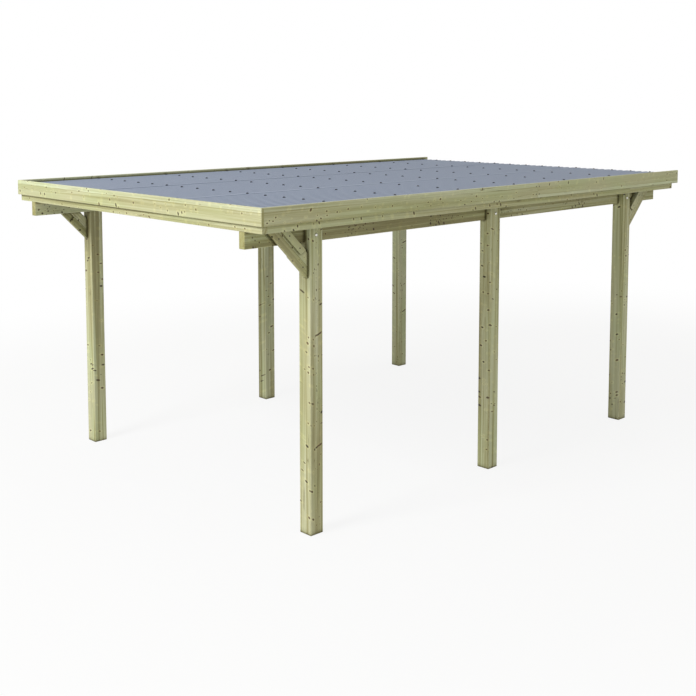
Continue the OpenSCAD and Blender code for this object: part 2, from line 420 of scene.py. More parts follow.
def stain(wood, where, strength, tint):
    """Multiplies the wood's colour by a tint, where it is asked for and as strongly."""
    share = sums(pine, "MULTIPLY", where, strength)
    return blend_colour(pine, share, wood, (*tint, 1.0), "MULTIPLY")


mottle = smooth_step(pine, log_noise(MOTTLE_SIZES, detail=1.0), *MOTTLE_EDGE)
fibre = log_noise(FIBRE_SIZES)
wood = stain(wood, mottle, *TREATMENT_GREEN)
wood = stain(wood, late_wood, *LATE_WOOD_BROWN)
wood = stain(wood, sums(pine, "SUBTRACT", fibre, FIBRE_FROM), *FIBRE_BROWN)
print("three stains laid on")

# %% [markdown]
# As a board dries it shrinks more round the rings than along them, so fine cracks open. They run
# along the grain and point at the heart. Noise measured in directions from the heart has level lines
# that run just so, and a second noise keeps only some stretches of them.

# %% Drying cracks
CRACKS_AROUND, CRACKS_ALONG = 5.0, 0.9
CRACK_EDGE = (0.007, 0.002)
STRETCH_SIZES, STRETCH_EDGE = (3.0, 12.0, 12.0), (0.52, 0.60)
CRACK_DARK = (0.70, (0.38, 0.33, 0.26))
crack_place = add_node(
    pine, "VectorMath",
    {0: stretched(pine, outwards, (0.0, CRACKS_AROUND, CRACKS_AROUND)),
     1: stretched(pine, in_log, (CRACKS_ALONG, 0.0, 0.0))},
    operation="ADD",
)
from_level = sums(pine, "ABSOLUTE", both_ways(noise(pine, crack_place, detail=1.0)))
stretches = smooth_step(pine, log_noise(STRETCH_SIZES, detail=1.0), *STRETCH_EDGE)
crack = sums(pine, "MULTIPLY", smooth_step(pine, from_level, *CRACK_EDGE), stretches)
wood = stain(wood, crack, *CRACK_DARK)
print("cracks ready")

# %% [markdown]
# The outermost wood of the log, the sapwood, takes the treatment best. A board sawn near the bark has
# a paler stripe along one edge, with a thin dark line where it ends. The stripe is measured across
# the board, from the place where its board says it starts, and wavers a little on the way.

# %% Sapwood stripe
STRIPE_WAVER, STRIPE_EDGE = 0.014, (-0.002, 0.003)
STRIPE_PALE = (1.19, 1.24, 1.42)
LINE_FROM_EDGE, LINE_WIDTH = 0.003, 0.004
LINE_BROWN = (0.75, (0.70, 0.66, 0.56))
past_edge = sums(pine, "MULTIPLY", place_z, board["Sapwood side"])
past_edge = sums(pine, "SUBTRACT", past_edge, board["Sapwood from"])
past_edge = sums(pine, "MULTIPLY_ADD", both_ways(waver), STRIPE_WAVER, past_edge)
wood = stain(wood, smooth_step(pine, past_edge, *STRIPE_EDGE), board["Sapwood amount"], STRIPE_PALE)
from_line = sums(pine, "ABSOLUTE", sums(pine, "ADD", past_edge, LINE_FROM_EDGE))
edge_line = smooth_step(pine, from_line, LINE_WIDTH, 0.0)
edge_line = sums(pine, "MULTIPLY", edge_line, board["Sapwood amount"])
wood = stain(wood, edge_line, *LINE_BROWN)
print("sapwood stripe ready")

# %% [markdown]
# Knots and sawn ends come next. A knot's core is dark brown, each one a little different, in a rim of
# paler wood, made paler still by a painted highlight for the glint of resin round the knot. A sawn end
# shows the rings as arcs and is more yellow than the faces, because rough end grain holds more of the
# treatment. Whether a point is on an end is told by the way that it faces.

# %% Knots and sawn ends in the colour
HALO_PALE_AND_GLINT = (0.80, (1.20, 1.18, 1.12))
KNOT_DARKEST, KNOT_PALEST = as_colour(48, 38, 25), as_colour(112, 86, 54)
KNOT_DIFFERENCE, KNOT_STRENGTH = 0.7, 0.93
END_EARLY_WOOD, END_LATE_WOOD = as_colour(178, 175, 118), as_colour(132, 122, 74)
END_FACING = (0.60, 0.80)
# The pale rim round each knot is partly the wood's own and partly a painted highlight for the glint of
# resin.
wood = stain(wood, knot_halo, *HALO_PALE_AND_GLINT)
difference = sums(pine, "MULTIPLY", chance[2], KNOT_DIFFERENCE)
core_tone = blend_colour(pine, difference, KNOT_DARKEST, KNOT_PALEST)
wood = blend_colour(pine, sums(pine, "MULTIPLY", knot_core, KNOT_STRENGTH), wood, core_tone)
sawn_end = smooth_step(pine, sums(pine, "ABSOLUTE", facing_x), *END_FACING)
end_rings = blend_colour(pine, late_wood, END_EARLY_WOOD, END_LATE_WOOD)
wood = blend_colour(pine, sums(pine, "MULTIPLY", sawn_end, board["End grain"]), wood, end_rings)
print("knots and ends ready")

# %% [markdown]
# Last come rubbing and painted shade. The long corners are rubbed slightly pale, in patches. Where two
# pieces meet and in deep nooks, shade is painted into the colour: an Ambient Occlusion node says how
# shut in a point is, once over a short reach for the joints and once over a long one for the deep
# nooks.

# %% Rubbed corners and painted shade
RUB_REACH, RUB_PATCHES, RUB_STRENGTH = (-0.006, -0.001), (0.35, 0.6), 0.5
RUBBED_WOOD = as_colour(214, 210, 172)
# Painted shade: how far the occlusion looks, and how shut in a point must be before it is darkened.
JOINT_REACH, JOINT_SHADE = 0.022, (0.98, 0.68)
NOOK_REACH, NOOK_SHADE = 0.09, (0.72, 0.36)
SHADE_TINT = (0.26, 0.24, 0.16)
_, half_y, half_z = split(pine, board["Half size"])


def past_side(place, half):
    """How far past the board's side a point is: 0 on that side, and less than 0 inside."""
    return sums(pine, "SUBTRACT", sums(pine, "ABSOLUTE", place), half)


def shut_in(reach, edge):
    """How shut in a point is by what lies within reach of it, from 0 to 1."""
    openness = add_node(pine, "AmbientOcclusion", {"Distance": reach}, output=1, samples=8)
    return smooth_step(pine, openness, *edge)


corner = sums(pine, "MINIMUM", past_side(place_y, half_y), past_side(place_z, half_z))
rubbed = sums(pine, "MULTIPLY", smooth_step(pine, corner, *RUB_REACH),
              smooth_step(pine, ragged, *RUB_PATCHES))
wood = blend_colour(pine, sums(pine, "MULTIPLY", rubbed, RUB_STRENGTH), wood, RUBBED_WOOD)
# Painted shade: the wood is darkened towards the tint where it is shut in, in joints and nooks.
painted_shade = sums(pine, "MAXIMUM", shut_in(JOINT_REACH, JOINT_SHADE), shut_in(NOOK_REACH, NOOK_SHADE))
wood = stain(wood, painted_shade, board["Grime"], SHADE_TINT)
plug(pine, wood, pine_result["Colour"])
print("pine colour ready")

# %% [markdown]
# ### Roughness and height
#
# Planed pine is dull, a little shinier on late wood and knots and duller on sawn ends. The soft early
# wood wears lower than the late wood, so the same rings raise the surface by a fraction of a
# millimetre.

# %% Roughness and height of the wood
PLANED, LATE_WOOD_SMOOTHER, KNOT_SMOOTHER, SAWN_ROUGHER = 0.72, 0.10, 0.18, 0.12
FIBRE_RISE, LATE_WOOD_RISE, KNOT_DROP = 0.35, 0.55, 0.5
rough = sums(pine, "MULTIPLY_ADD", late_wood, -LATE_WOOD_SMOOTHER, PLANED)
rough = sums(pine, "MULTIPLY_ADD", knot_core, -KNOT_SMOOTHER, rough)
rough = sums(pine, "MULTIPLY_ADD", sawn_end, SAWN_ROUGHER, rough)
plug(pine, rough, pine_result["Roughness"])
relief = sums(pine, "MULTIPLY", fibre, FIBRE_RISE)
relief = sums(pine, "MULTIPLY_ADD", late_wood, LATE_WOOD_RISE, relief)
relief = sums(pine, "MULTIPLY_ADD", knot_core, -KNOT_DROP, relief)
relief = sums(pine, "SUBTRACT", relief, crack)
plug(pine, relief, pine_result["Height"])
print("pine relief ready")

# %% [markdown]
# ## One piece of timber, one cut of the log
#
# Each board gets a material of its own round the shared group. A Mapping node turns the object's
# coordinates into the board's: its middle becomes the origin and its grain becomes X. The heart of
# the log lies 30 to 90 mm from the middle. Each board is also slid along the log by a length of its
# own, so that no two show the same knots. A small function says which way a board's grain runs.

# %% Grain directions
ALONG_X = Matrix.Identity(3)
ALONG_Y = Matrix.Rotation(math.radians(90), 3, "Z")
UPRIGHT = Matrix.Rotation(math.radians(-90), 3, "Y")
SLOPING_UP = Matrix.Rotation(math.radians(-45), 3, "Y")
LEANING_FORWARDS = Matrix.Rotation(math.radians(-90), 3, "Z") @ SLOPING_UP
LEANING_BACK = ALONG_Y @ SLOPING_UP


def grain_of(name):
    """Which way the grain of a named board runs."""
    if name.startswith("post"):
        return UPRIGHT
    if name.startswith("brace_front"):
        return LEANING_FORWARDS
    if name.startswith("brace_rear"):
        return LEANING_BACK
    if name.startswith("purlin") or name in ("rim_front", "rim_rear", "fascia_front"):
        return ALONG_X
    return ALONG_Y


print("front braces run along", LEANING_FORWARDS @ Vector((1, 0, 0)))

# %% [markdown]
# The numbers that differ from board to board come from the board's place in the list, turned into
# what looks like chance by the golden ratio. Unlike random numbers, they never change by themselves
# when a board is added at the end. Two of the posts have spike knots on one face.

# %% Numbers that differ from board to board
GOLDEN = 0.6180339887
SPIKED = ("post_front_right", "post_rear_left")
BEAM_CLUSTERS, BEAM_FIRST_CLUSTER, POST_CLUSTERS = 1.0, 0.30, 0.2
RIM_END_GRAIN, END_GRAIN = 0.2, 0.75


def scatter(count, step):
    """A number from 0 to 1 that jumps about as the count goes up."""
    return (count * GOLDEN * step + 0.37 * step) % 1.0


def cluster_of(name, count):
    """How many knots of the clusters a board keeps, from 0 to 1, and where its first cluster is."""
    if name.startswith("beam"):
        return BEAM_CLUSTERS, BEAM_FIRST_CLUSTER
    if name.startswith("post"):
        return POST_CLUSTERS, CLUSTER_SPACING * scatter(count, 7)
    return 0.0, 0.0


print("scatter gives", [round(scatter(count, 1), 2) for count in range(5)])

# %% [markdown]
# The material itself is short, because the shared group does the work. It centres and turns the
# board's coordinates and its facing, sets the group's inputs, and joins the group to the shader.

# %% Pine finish for one board
HEART_NEAREST, HEART_SPREAD, LOG_SLIDE = 0.03, 0.06, 7.0
GRAIN_RELIEF, PINE_GLOSS = 0.0004, 0.3


def new_material(name):
    """A material with nodes; returns it, its tree and its shader."""
    material = bpy.data.materials.new(name)
    material.use_nodes = True
    return material, material.node_tree, material.node_tree.nodes["Principled BSDF"]


def give_relief(tree, shader, height, strength, distance):
    """Lets a height raise the surface, by up to the distance in metres."""
    bump = add_node(tree, "Bump", {"Height": height, "Strength": strength, "Distance": distance})
    plug(tree, bump, shader.inputs["Normal"])


def pine_finish(name, count, sapwood, tone, contrast, painted_shade):
    """The material of one board; sapwood is its pale stripe's strength, side and start."""
    low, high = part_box(name)
    grain = grain_of(name)
    half = [abs(part) for part in grain.transposed() @ ((high - low) / 2)]
    angle = math.tau * scatter(count, 1)
    reach = HEART_NEAREST + HEART_SPREAD * scatter(count, 3)
    slide = LOG_SLIDE * scatter(count, 5) + count
    stripe_amount, stripe_side, stripe_start = sapwood
    clusters, first_cluster = cluster_of(name, count)

    material, tree, shader = new_material("pine_" + name)
    coordinates = tree.nodes.new("ShaderNodeTexCoord").outputs
    centred = {"Vector": coordinates["Object"], "Location": (low + high) / 2,
               "Rotation": grain.to_euler()}
    turned = {"Vector": coordinates["Normal"], "Rotation": grain.to_euler()}
    cut = tree.nodes.new("ShaderNodeGroup")
    cut.node_tree = pine
    settings = {
        "Place": add_node(tree, "Mapping", centred, vector_type="TEXTURE"),
        "Facing": add_node(tree, "Mapping", turned, vector_type="TEXTURE"),
        "Heart": (slide, reach * math.cos(angle), reach * math.sin(angle)),
        "Half size": half,
        "Sapwood amount": stripe_amount,
        "Sapwood side": stripe_side,
        "Sapwood from": stripe_start * half[2],
        "Tone": tone,
        "Contrast": contrast,
        "Grime": painted_shade,
        "Spikes": 1.0 if name in SPIKED else 0.0,
        "Clusters": clusters,
        "First cluster": first_cluster,
        "End grain": RIM_END_GRAIN if name.startswith("rim") else END_GRAIN,
    }
    for label, value in settings.items():
        plug(tree, value, cut.inputs[label])
    plug(tree, cut.outputs["Colour"], shader.inputs["Base Color"])
    plug(tree, cut.outputs["Roughness"], shader.inputs["Roughness"])
    give_relief(tree, shader, cut.outputs["Height"], 0.5, GRAIN_RELIEF)
    shader.inputs["Specular IOR Level"].default_value = PINE_GLOSS
    return material


print("pine finish ready for each board")

# %% [markdown]
# ## Eased edges on the timber
#
# The frame's boards have exactly the right shape, so they stay. Sawn timber is planed with its
# corners taken off by a few millimetres, and a perfectly sharp corner never catches light. A Weld
# modifier joins the frame's loose triangles and a Bevel modifier then rounds the corners. Both act
# only on what is shown, so the frame's own mesh isn't touched.

# %% Eased edges
EDGE_ROUND = {"post": 0.0015, "beam": 0.003, "brace": 0.0035, "rim": 0.002, "purlin": 0.002,
              "fascia": 0.0025}
SAME_CORNER = 0.00005


def ease_edges(piece, width):
    """Welds the loose triangles and rounds the corners of a board."""
    weld = piece.modifiers.new("joined corners", "WELD")
    weld.merge_threshold = SAME_CORNER
    bevel = piece.modifiers.new("eased edges", "BEVEL")
    bevel.width = width
    bevel.segments = 2
    bevel.limit_method = "ANGLE"
    bevel.angle_limit = math.radians(30)


print("widest eased edge", max(EDGE_ROUND.values()) * 1000, "mm")

# %% [markdown]
# Some things differ from one kind of board to the next, or from board to board. The posts show their
# bands strongly and the fascias weakly, some boards are paler or browner than the rest, and the ones
# with a sapwood stripe are named. The tables below hold these, and one loop finishes every board.

# %% Finish every board
NO_STRIPE = (0.0, 1.0, 0.5)
SAPWOOD = {
    "fascia_front": (1.0, 1.0, 0.48),
    "fascia_right_front": (0.75, 1.0, 0.48),
    "fascia_left_front": (0.75, 1.0, 0.48),
    "fascia_right_rear": (0.7, -1.0, 0.62),
    "fascia_left_rear": (0.7, -1.0, 0.62),
    "rim_front": (0.5, 1.0, 0.48),
}
CONTRAST = {"post": 1.45, "beam": 1.1, "brace": 0.5, "rim": 0.9, "purlin": 0.9, "fascia": 0.6}
TONE = {"upper": 0.07, "lower": -0.17, "post_front_right": 0.10, "post_front_left": -0.10,
        "post_rear_left": 0.24, "post_rear_right": 0.04, "beam_right": -0.13, "beam_left": -0.10,
        "fascia_right_rear": 0.10, "fascia_left_rear": 0.06, "rim_right_rear": 0.12}
# How strongly shade is painted into the joints and nooks of each kind of board.
PAINTED_SHADE = {"post": 0.9, "beam": 0.9, "brace": 1.0, "rim": 0.25, "purlin": 0.7, "fascia": 0.4}
# The left fascia's share of painted shade, for the dark strip along the roof sheet.
LEFT_FASCIA_SHADE = 1.0


def tone_of(name):
    """How much paler or browner a board is than the rest."""
    return sum(shift for ending, shift in TONE.items() if name.endswith(ending))


def painted_shade_of(name):
    """How much shade is painted into a board's joints and nooks; the left fascia gets a full share, for
    the shade along the roof sheet.
    """
    if name.startswith("fascia_left"):
        return LEFT_FASCIA_SHADE
    return PAINTED_SHADE[name.split("_")[0]]


boards = sorted(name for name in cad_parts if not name.startswith("roof"))
for count, name in enumerate(boards):
    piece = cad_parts[name]
    kind = name.split("_")[0]
    ease_edges(piece, EDGE_ROUND[kind])
    finish = pine_finish(name, count, SAPWOOD.get(name, NO_STRIPE), tone_of(name),
                         CONTRAST[kind], painted_shade_of(name))
    piece.data.materials.clear()
    piece.data.materials.append(finish)
print("finished", len(boards), "boards")

# %% [markdown]
# ## Corrugated roof sheets
#
# The roof is three sheets of smooth blue-grey plastic, folded into flat crests and valleys that run
# from the front to the rear. A sheet is thin and the same all along, so it is made the way a folding
# machine makes it: start from a flat strip, put a crease at every fold, round the creases, and then
# give it its thickness. The outer sheets lap over the middle one by a crest, a little higher there,
# and the middle one's outer crests are a millimetre narrower to fit under them.

# %% Sizes of the corrugations
SHEET_THICKNESS = 0.0013
SHEET_RISE = 0.018
LAP_CLEARANCE = 0.0002
CREST_WIDTH = 0.025
FLANK_WIDTH = 0.010
CRESTS_PER_SHEET = 15
FOLD_ROUND = 0.0022
LAP_TRIM = 0.001
sheet_low, sheet_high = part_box("roof_sheet_left")
first_crest = sheet_low.x + CREST_WIDTH / 2
pitch = -2 * first_crest / (3 * CRESTS_PER_SHEET)
valley_top = sheet_low.z + SHEET_THICKNESS
crest_top = valley_top + SHEET_RISE
lap_lift = SHEET_THICKNESS + LAP_CLEARANCE
print("corrugations every", round(pitch * 1000, 2), "mm, laps", round(lap_lift * 1000, 2), "mm up")

# %% [markdown]
# First the fold line: the outline of a sheet seen from its end, as a point for each fold. A lift
# raises the sheet's first or last crest and a trim narrows it, for the laps.

# %% Fold line of a sheet
def fold_line(first, lifts, trims):
    """Across and up at each fold of a sheet, from its first crest to its last."""
    folds = []
    for i in range(CRESTS_PER_SHEET + 1):
        centre = first + i * pitch
        at_start, at_end = i == 0, i == CRESTS_PER_SHEET
        top = crest_top + (lifts[0] if at_start else lifts[1] if at_end else 0.0)
        if not at_start:
            folds.append((centre - CREST_WIDTH / 2 - FLANK_WIDTH, valley_top))
        folds.append((centre - CREST_WIDTH / 2 + (trims[0] if at_start else 0.0), top))
        folds.append((centre + CREST_WIDTH / 2 - (trims[1] if at_end else 0.0), top))
        if not at_end:
            folds.append((centre + CREST_WIDTH / 2 + FLANK_WIDTH, valley_top))
    return folds


print("a sheet has", len(fold_line(first_crest, (0.0, 0.0), (0.0, 0.0))), "folds and edges")

# %% [markdown]
# A grid of one row of faces becomes the strip. Its corners move to the fold line, and its inner edges
# are the creases, which a bevel rounds. Solidify then adds the thickness below the top face.

# %% Fold the sheets
def finished_piece(name, shape):
    """Turns a bmesh into a piece of the carport that stays with the frame."""
    mesh = bpy.data.meshes.new(name)
    shape.to_mesh(mesh)
    shape.free()
    piece = bpy.data.objects.new(name, mesh)
    bpy.context.scene.collection.objects.link(piece)
    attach(piece, "root")
    return piece


def folded_sheet(name, folds, low_y, high_y):
    """A thin folded sheet; its top face follows the fold line."""
    shape = bmesh.new()
    bmesh.ops.create_grid(shape, x_segments=len(folds) - 1, y_segments=1, size=0.5)
    corners = sorted(shape.verts, key=lambda corner: (corner.co.x, corner.co.y))
    for i, corner in enumerate(corners):
        across_x, up_z = folds[i // 2]
        corner.co = (across_x, low_y if i % 2 == 0 else high_y, up_z)
    creases = [edge for edge in shape.edges if len(edge.link_faces) == 2]
    bmesh.ops.bevel(shape, geom=creases, offset=FOLD_ROUND, offset_type="OFFSET", segments=3,
                    profile=0.5, affect="EDGES", material=-1)
    bmesh.ops.recalc_face_normals(shape, faces=shape.faces)
    if sum(face.normal.z for face in shape.faces) < 0:
        bmesh.ops.reverse_faces(shape, faces=shape.faces)
    bmesh.ops.solidify(shape, geom=shape.faces, thickness=SHEET_THICKNESS)
    bmesh.ops.recalc_face_normals(shape, faces=shape.faces)
    return finished_piece(name, shape)


SHEETS = {"left": ((0.0, lap_lift), (0.0, 0.0)), "middle": ((0.0, 0.0), (LAP_TRIM, LAP_TRIM)),
          "right": ((lap_lift, 0.0), (0.0, 0.0))}
sheets = []
for i, (side, (lifts, trims)) in enumerate(SHEETS.items()):
    start = first_crest + i * CRESTS_PER_SHEET * pitch
    sheet = folded_sheet("folded_sheet_" + side, fold_line(start, lifts, trims),
                         sheet_low.y, sheet_high.y)
    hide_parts("roof_sheet_" + side)
    sheets.append(sheet)
    print(sheet.name, len(sheet.data.polygons), "faces")

# %% [markdown]
# The plastic is even in colour and half glossy. What varies is slight: weathering runs down the
# length of the sheets in faint streaks, dust settles in the valleys, and the surface has the soft
# orange-peel of moulded plastic. The height of a point, in object coordinates, says if it is in a
# valley.

# %% Roof sheet finish
SHEET_BLUES = ((147, 158, 179), (155, 166, 187), (151, 162, 183))
WEATHER_SIZES, CLOUD_SCALE = (9.0, 0.4, 1.0), 0.7
DUST_COLOUR, DUST_DEPTH = (158, 160, 158), 0.006
DUST_PATCHES, DUST_SHARE = (0.3, 0.8), 0.35
SHEET_ROUGH, SHEET_ROUGHER, SHEET_GLOSS = 0.42, 0.12, 0.35
PEEL_SCALE, PEEL_RELIEF = 260.0, 0.0002


def roof_finish():
    """Smooth blue-grey plastic with a trace of dust."""
    material, tree, shader = new_material("blue_grey_sheet")
    place = add_node(tree, "TexCoord", output=3)
    height = split(tree, place)[2]
    darker, paler, middle = [as_colour(*blue) for blue in SHEET_BLUES]
    weather = noise(tree, stretched(tree, place, WEATHER_SIZES), detail=3.0)
    cloud = noise(tree, place, scale=CLOUD_SCALE, detail=1.0)
    colour = blend_colour(tree, weather, darker, paler)
    colour = blend_colour(tree, cloud, colour, middle)
    valley = smooth_step(tree, height, valley_top + DUST_DEPTH, valley_top)
    dust = sums(tree, "MULTIPLY", valley, smooth_step(tree, weather, *DUST_PATCHES))
    dust = sums(tree, "MULTIPLY", dust, DUST_SHARE)
    colour = blend_colour(tree, dust, colour, as_colour(*DUST_COLOUR))
    plug(tree, colour, shader.inputs["Base Color"])
    rough = sums(tree, "MULTIPLY_ADD", weather, SHEET_ROUGHER, SHEET_ROUGH)
    plug(tree, rough, shader.inputs["Roughness"])
    give_relief(tree, shader, noise(tree, place, scale=PEEL_SCALE), 0.2, PEEL_RELIEF)
    shader.inputs["Specular IOR Level"].default_value = SHEET_GLOSS
    return material


sheet_finish = roof_finish()
for sheet in sheets:
    sheet.data.materials.append(sheet_finish)
print("roof finish on", len(sheets), "sheets")

# %% [markdown]
# ## Finishes of the fixings
#
# The fixings have three finishes: bright zinc on the coach bolts, dark coated steel on the wood
# screws, and dark plastic caps on the roof screws. Zinc has a faint crystal pattern and duller
# patches, and the two dark ones have paler wear. One function makes all three, from a dark and a
# pale colour that change in small patches.

# %% Finishes of the fixings
SPECKLE_RELIEF, WEAR_EDGE = 0.0001, (0.35, 0.70)


def speckled_finish(name, dark, pale, patch_size, rough_range, metallic):
    """A coated or plated surface whose colour and roughness vary in small patches."""
    material, tree, shader = new_material(name)
    place = add_node(tree, "TexCoord", output=3)
    patch = noise(tree, place, scale=1.0 / patch_size, detail=3.0)
    wear = smooth_step(tree, patch, *WEAR_EDGE)
    colour = blend_colour(tree, wear, as_colour(*dark), as_colour(*pale))
    plug(tree, colour, shader.inputs["Base Color"])
    low, high = rough_range
    plug(tree, sums(tree, "MULTIPLY_ADD", wear, high - low, low), shader.inputs["Roughness"])
    give_relief(tree, shader, patch, 0.3, SPECKLE_RELIEF)
    shader.inputs["Metallic"].default_value = metallic
    return material


zinc = speckled_finish("bright_zinc", (206, 205, 198), (234, 233, 226), 0.004, (0.28, 0.42), 1.0)
coated = speckled_finish("coated_steel", (58, 54, 46), (84, 78, 66), 0.003, (0.45, 0.60), 0.4)
cap_finish = speckled_finish("dark_cap", (20, 22, 28), (34, 37, 45), 0.005, (0.40, 0.55), 0.0)
print("made", zinc.name, coated.name, cap_finish.name)

# %% [markdown]
# ## Round parts
#
# A bolt's dome, a roof screw's cap and a wood screw's head are round, so each is a profile spun about
# its own axis, as on a lathe. The profile starts at the middle of the base, so that the base is
# closed too. Nuts and washers are plain prisms. A seat matrix then carries each part to its place and
# turns it to face away from what it sits on.

# %% Round and straight-sided parts
SAME_POINT = 0.00001


def spun(shape, profile, steps, seat):
    """Spins (radius, height) points round Z, closes the base, and moves the result to its seat."""
    before = set(shape.verts)
    base_middle = (0.0, profile[0][1])
    points = [shape.verts.new((radius, 0.0, height)) for radius, height in [base_middle, *profile]]
    line = [shape.edges.new(pair) for pair in zip(points, points[1:])]
    bmesh.ops.spin(shape, geom=points + line, axis=(0, 0, 1), cent=(0, 0, 0),
                   angle=math.tau, steps=steps, use_merge=True)
    made = [corner for corner in shape.verts if corner not in before]
    bmesh.ops.remove_doubles(shape, verts=made, dist=SAME_POINT)
    made = [corner for corner in shape.verts if corner not in before]
    bmesh.ops.transform(shape, matrix=seat, verts=made)


def prism(shape, sides, radius, depth, seat):
    """A straight prism standing on its seat."""
    lift = Matrix.Translation((0, 0, depth / 2))
    bmesh.ops.create_cone(shape, cap_ends=True, segments=sides, radius1=radius, radius2=radius,
                          depth=depth, matrix=seat @ lift)


def arc(radius, rise, count):
    """Points of a dome's profile, from its edge up to its top."""
    turns = [math.pi / 2 * i / count for i in range(count + 1)]
    return [(radius * math.cos(turn), rise * math.sin(turn)) for turn in turns]


def fixing(name, shape, finish):
    """Makes a piece of a shape, with its faces outwards and its finish on."""
    bmesh.ops.recalc_face_normals(shape, faces=shape.faces)
    piece = finished_piece(name, shape)
    piece.data.materials.append(finish)
    print(name, len(piece.data.polygons), "faces")


print("dome profile", [(round(a * 1000, 1), round(b * 1000, 1)) for a, b in arc(0.013, 0.006, 3)])

# %% [markdown]
# ## Coach bolts
#
# A coach bolt goes through the head of each post and the beam beside it. Outside shows a low dome.
# Inside the beam are a washer, a nut and the end of the thread. The dome is spun, and the other three
# are cone primitives with equal ends, of which the nut's has six sides.

# %% Coach bolts
BOLT_BELOW_HEAD = 0.062
DOME_RADIUS, DOME_RISE, DOME_STEPS = 0.0118, 0.006, 20
WASHER_RADIUS, WASHER_THICKNESS, WASHER_SIDES = 0.015, 0.0022, 24
NUT_RADIUS, NUT_HEIGHT, NUT_SIDES = 0.0098, 0.008, 6
THREAD_RADIUS, THREAD_END, THREAD_SIDES = 0.005, 0.018, 16


def coach_bolt(name, post, beam, side):
    """The bolt through one post head; side is -1 on the left and 1 on the right."""
    post_low, post_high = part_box(post)
    beam_low, beam_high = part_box(beam)
    level = post_high.z - BOLT_BELOW_HEAD
    middle = (post_low.y + post_high.y) / 2
    outside = post_high.x if side > 0 else post_low.x
    inside = beam_low.x if side > 0 else beam_high.x
    face_out = Matrix.Rotation(math.radians(90 * side), 4, "Y")
    face_in = Matrix.Rotation(math.radians(-90 * side), 4, "Y")
    outer_seat = Matrix.Translation((outside, middle, level)) @ face_out
    inner_seat = Matrix.Translation((inside, middle, level)) @ face_in
    on_washer = inner_seat @ Matrix.Translation((0, 0, WASHER_THICKNESS))
    shape = bmesh.new()
    spun(shape, arc(DOME_RADIUS, DOME_RISE, 5), DOME_STEPS, outer_seat)
    prism(shape, WASHER_SIDES, WASHER_RADIUS, WASHER_THICKNESS, inner_seat)
    prism(shape, NUT_SIDES, NUT_RADIUS, NUT_HEIGHT, on_washer)
    prism(shape, THREAD_SIDES, THREAD_RADIUS, THREAD_END, inner_seat)
    fixing(name, shape, zinc)


for side, word in ((-1, "left"), (1, "right")):
    for row in ("front", "middle", "rear"):
        place_name = f"{row}_{word}"
        coach_bolt("coach_bolt_" + place_name, "post_" + place_name, "beam_" + word, side)

# %% [markdown]
# ## Roof screws
#
# Over the front and rear rims and every purlin, a row of screws goes through each third crest. Each
# has a sealing washer and a small cap, spun as one profile. There are more than a hundred, so one
# screw has only a few dozen faces, and each row is a single piece.

# %% Roof screws
SCREW_EVERY, SCREW_STEPS = 3, 10
SEAL_RADIUS, SEAL_HEIGHT = 0.0120, 0.002
CAP_RADIUS, CAP_RISE = 0.0092, 0.0064
SCREW_PROFILE = [
    (SEAL_RADIUS, 0.0),
    (SEAL_RADIUS - 0.0006, SEAL_HEIGHT),
    (CAP_RADIUS, SEAL_HEIGHT + 0.0003),
    (CAP_RADIUS * 0.82, CAP_RISE),
    (0.0, CAP_RISE + 0.001),
]
LAST_CREST = 3 * CRESTS_PER_SHEET
LAPPED_CRESTS = (CRESTS_PER_SHEET, 2 * CRESTS_PER_SHEET)


def roof_screws(support):
    """The screws over one rim or purlin."""
    low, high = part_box(support)
    middle = (low.y + high.y) / 2
    shape = bmesh.new()
    for crest in range(0, LAST_CREST + 1, SCREW_EVERY):
        top = crest_top + (lap_lift if crest in LAPPED_CRESTS else 0.0)
        seat = Matrix.Translation((first_crest + crest * pitch, middle, top))
        spun(shape, SCREW_PROFILE, SCREW_STEPS, seat)
    fixing("roof_screws_" + support, shape, cap_finish)


for support in ("rim_front", *(f"purlin_{number}" for number in range(1, 7)), "rim_rear"):
    roof_screws(support)

# %% [markdown]
# ## Wood screws
#
# The side boards are screwed to the rim on each side of their joint, and each brace board has a
# screw near its foot and its head. A countersunk head is nearly flush with the wood, so only a thin
# disc with a shallow recess shows.

# %% Wood screws
HEAD_RADIUS, HEAD_PROUD, HEAD_STEPS = 0.0055, 0.0003, 12
RECESS_RADIUS, RECESS_FLOOR = 0.0022, 0.0001
HEAD_PROFILE = [
    (HEAD_RADIUS, 0.0),
    (HEAD_RADIUS - 0.0005, HEAD_PROUD),
    (RECESS_RADIUS, HEAD_PROUD),
    (RECESS_RADIUS * 0.7, RECESS_FLOOR),
    (0.0, RECESS_FLOOR),
]


def wood_screws(name, places, side):
    """Countersunk heads at these places, on faces that look along X to the named side."""
    turn = Matrix.Rotation(math.radians(90 * side), 4, "Y")
    shape = bmesh.new()
    for place in places:
        spun(shape, HEAD_PROFILE, HEAD_STEPS, Matrix.Translation(place) @ turn)
    fixing(name, shape, coated)


print("screw heads", HEAD_RADIUS * 2000, "mm across")

# %% Screws at the fascia joints
JOINT_SPACING = 0.019
JOINT_RISE = 0.031
for side, word in ((-1, "left"), (1, "right")):
    low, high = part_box(f"fascia_{word}_front")
    face = high.x if side > 0 else low.x
    middle = (low.z + high.z) / 2
    places = [(face, high.y + along_joint, middle + up)
              for along_joint in (-JOINT_SPACING, JOINT_SPACING)
              for up in (-JOINT_RISE, JOINT_RISE)]
    wood_screws("joint_screws_" + word, places, side)

# %% [markdown]
# A brace leans at 45 degrees, so a point on it is as far above the foot of its line as it is away
# from the post. The upper board's screws go through the raised band on its outside.

# %% Brace screws
BAND_MIDDLE = 0.060
BRACE_SCREWS = {"lower": (0.045, 0.255), "upper": (0.080, 0.170)}


